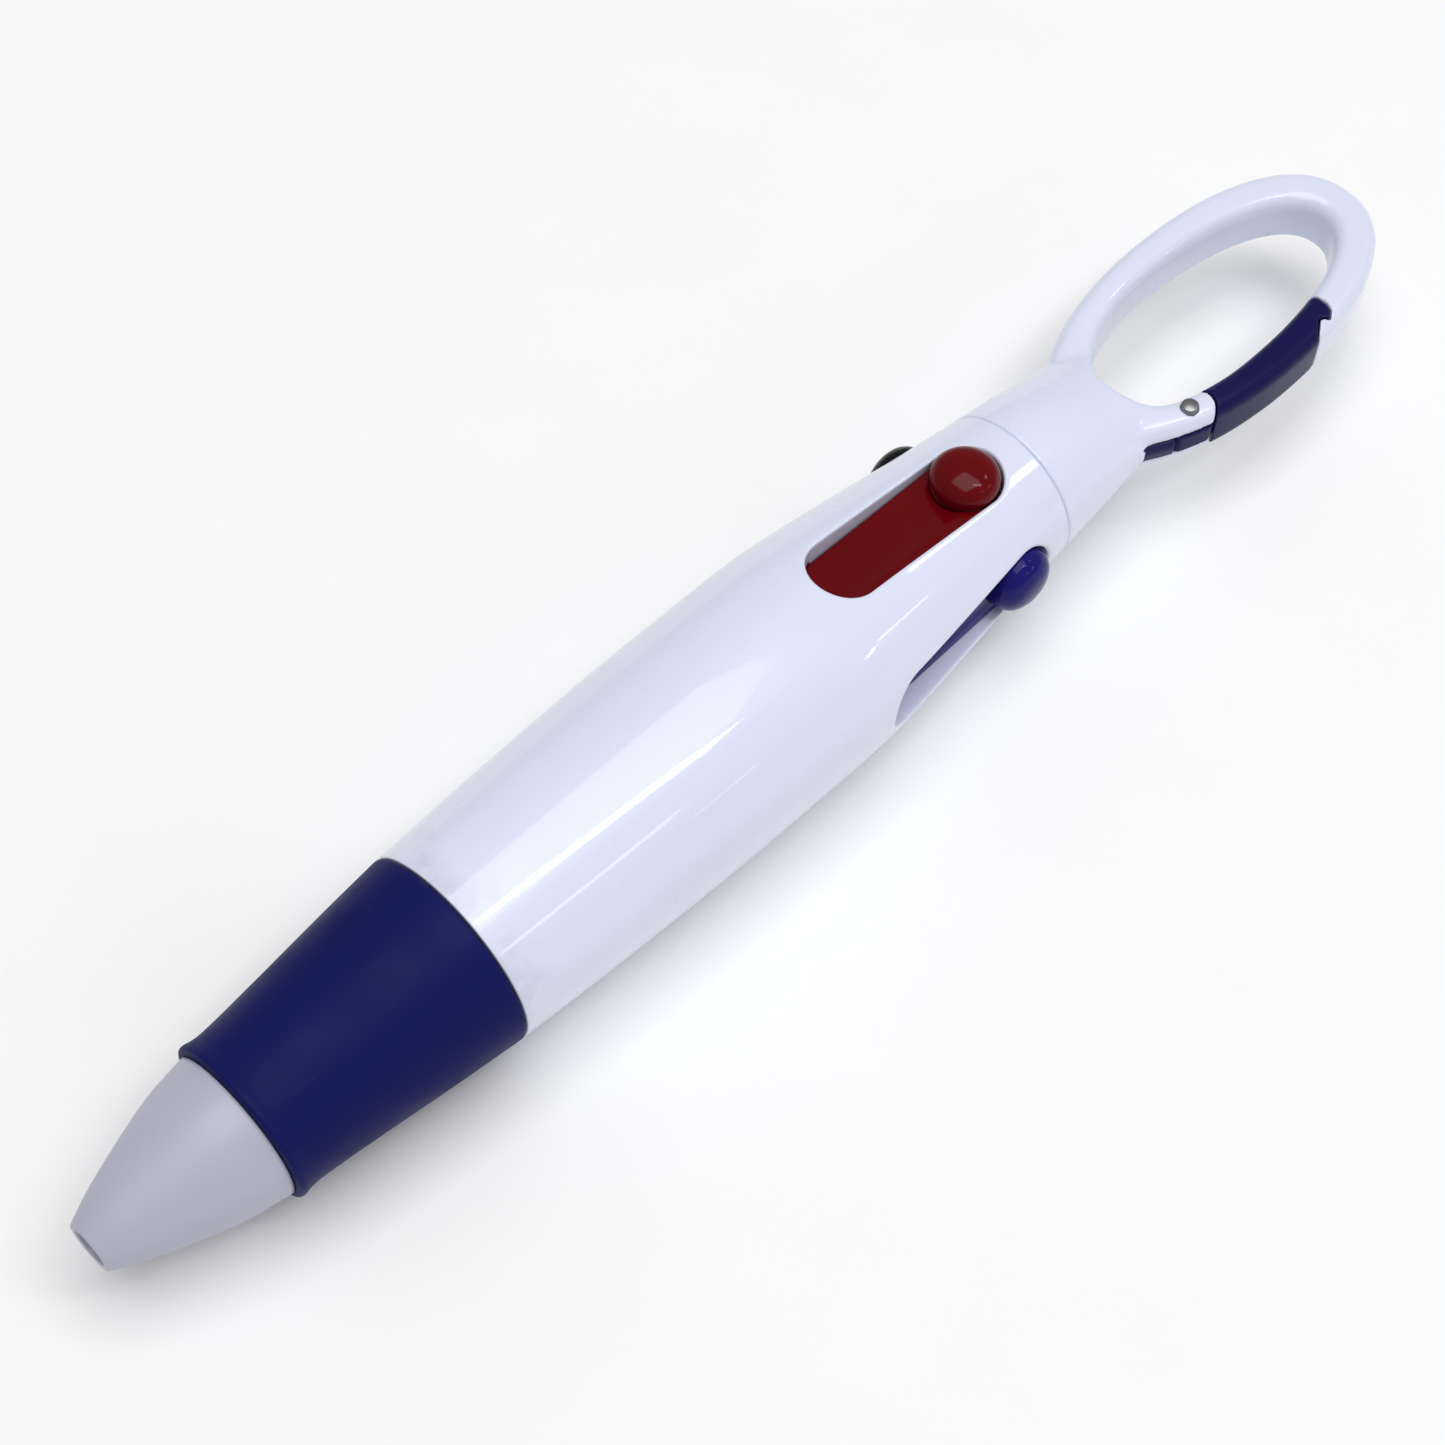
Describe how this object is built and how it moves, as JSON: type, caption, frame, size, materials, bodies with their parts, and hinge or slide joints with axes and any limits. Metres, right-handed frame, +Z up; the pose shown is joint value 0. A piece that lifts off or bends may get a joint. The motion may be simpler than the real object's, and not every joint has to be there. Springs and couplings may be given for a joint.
{
  "type": "multicolour slider pen",
  "caption": "Multicolour ballpoint pen: sliders in the barrel push one refill point out of the nose, and a sprung-gate loop clips it to a ring or strap.",
  "frame": {"origin": "middle of the pen's bounding box, on the barrel's axis", "axes": "+X along the pen from the nose to the carabiner loop, +Z up through the red slider, and the loop lies in the XY plane with its gate on the -Y side"},
  "size_m": [0.1194, 0.0162, 0.0162],
  "materials": {
    "white_gloss": "smooth gloss",
    "off_white": "satin",
    "grip_blue": "soft matt",
    "gate_blue": "gloss",
    "inner_white": "as moulded",
    "refill_plastic": "smooth",
    "steel": "satin",
    "brass": "turned",
    "slider_red": "gloss",
    "slider_blue": "gloss",
    "slider_green": "gloss",
    "slider_black": "gloss"
  },
  "bodies": {
    "pen_body": {"barrel": "white_gloss", "nose_cone": "off_white", "grip_sleeve": "grip_blue", "spring_guide": "inner_white", "inner_core": "inner_white", "top_cap": "white_gloss", "gate_pin": "steel", "gate_leaf_spring": "gate_blue", "return_spring_red": "steel", "return_spring_blue": "steel", "return_spring_green": "steel", "return_spring_black": "steel"},
    "gate": {"carabiner_gate": "gate_blue"},
    "slider_red_body": {"slider_red": "slider_red"},
    "refill_red_body": {"refill_tube_red": "refill_plastic", "refill_point_red": "brass", "point_ball_red": "steel"},
    "slider_blue_body": {"slider_blue": "slider_blue"},
    "refill_blue_body": {"refill_tube_blue": "refill_plastic", "refill_point_blue": "brass", "point_ball_blue": "steel"},
    "slider_green_body": {"slider_green": "slider_green"},
    "refill_green_body": {"refill_tube_green": "refill_plastic", "refill_point_green": "brass", "point_ball_green": "steel"},
    "slider_black_body": {"slider_black": "slider_black"},
    "refill_black_body": {"refill_tube_black": "refill_plastic", "refill_point_black": "brass", "point_ball_black": "steel"}
  },
  "joints": [
    {"name": "slide_red", "type": "slide", "parent": "pen_body", "child": "slider_red_body", "axis": [-1, 0, 0], "range_m": [0, 0.011], "stiffness_N_per_m": 60, "springref_m": -0.005, "deforming": ["return_spring_red"]},
    {"name": "swing_red", "type": "hinge", "parent": "slider_red_body", "child": "refill_red_body", "pos_m": [-0.00232, 0, 0.00439], "axis": [0, -1, 0], "range_deg": [0, 1.47]},
    {"name": "slide_blue", "type": "slide", "parent": "pen_body", "child": "slider_blue_body", "axis": [1, 0, 0], "range_m": [-0.011, 0], "stiffness_N_per_m": 60, "springref_m": 0.005, "deforming": ["return_spring_blue"]},
    {"name": "swing_blue", "type": "hinge", "parent": "slider_blue_body", "child": "refill_blue_body", "pos_m": [-0.00232, -0.00439, 0], "axis": [0, 0, 1], "range_deg": [-1.47, 0]},
    {"name": "slide_green", "type": "slide", "parent": "pen_body", "child": "slider_green_body", "axis": [-1, 0, 0], "range_m": [0, 0.011], "stiffness_N_per_m": 60, "springref_m": -0.005, "deforming": ["return_spring_green"]},
    {"name": "swing_green", "type": "hinge", "parent": "slider_green_body", "child": "refill_green_body", "pos_m": [-0.00232, 0, -0.00439], "axis": [0, 1, 0], "range_deg": [0, 1.47]},
    {"name": "slide_black", "type": "slide", "parent": "pen_body", "child": "slider_black_body", "axis": [1, 0, 0], "range_m": [-0.011, 0], "stiffness_N_per_m": 60, "springref_m": 0.005, "deforming": ["return_spring_black"]},
    {"name": "swing_black", "type": "hinge", "parent": "slider_black_body", "child": "refill_black_body", "pos_m": [-0.00232, 0.00439, 0], "axis": [0, 0, -1], "range_deg": [-1.47, 0]},
    {"name": "gate_hinge", "type": "hinge", "parent": "pen_body", "child": "gate", "pos_m": [0.0354, -0.0052, 0], "axis": [0, 0, 1], "range_deg": [0, 32], "stiffness_Nm_per_rad": 0.002, "springref_deg": -11.46, "deforming": ["gate_leaf_spring"]}
  ],
  "couplings": [
    {"joint": "swing_red", "follows": "slide_red", "rad_per_m": 2.3229},
    {"joint": "swing_blue", "follows": "slide_blue", "rad_per_m": 2.3229},
    {"joint": "swing_green", "follows": "slide_green", "rad_per_m": 2.3229},
    {"joint": "swing_black", "follows": "slide_black", "rad_per_m": 2.3229}
  ]
}
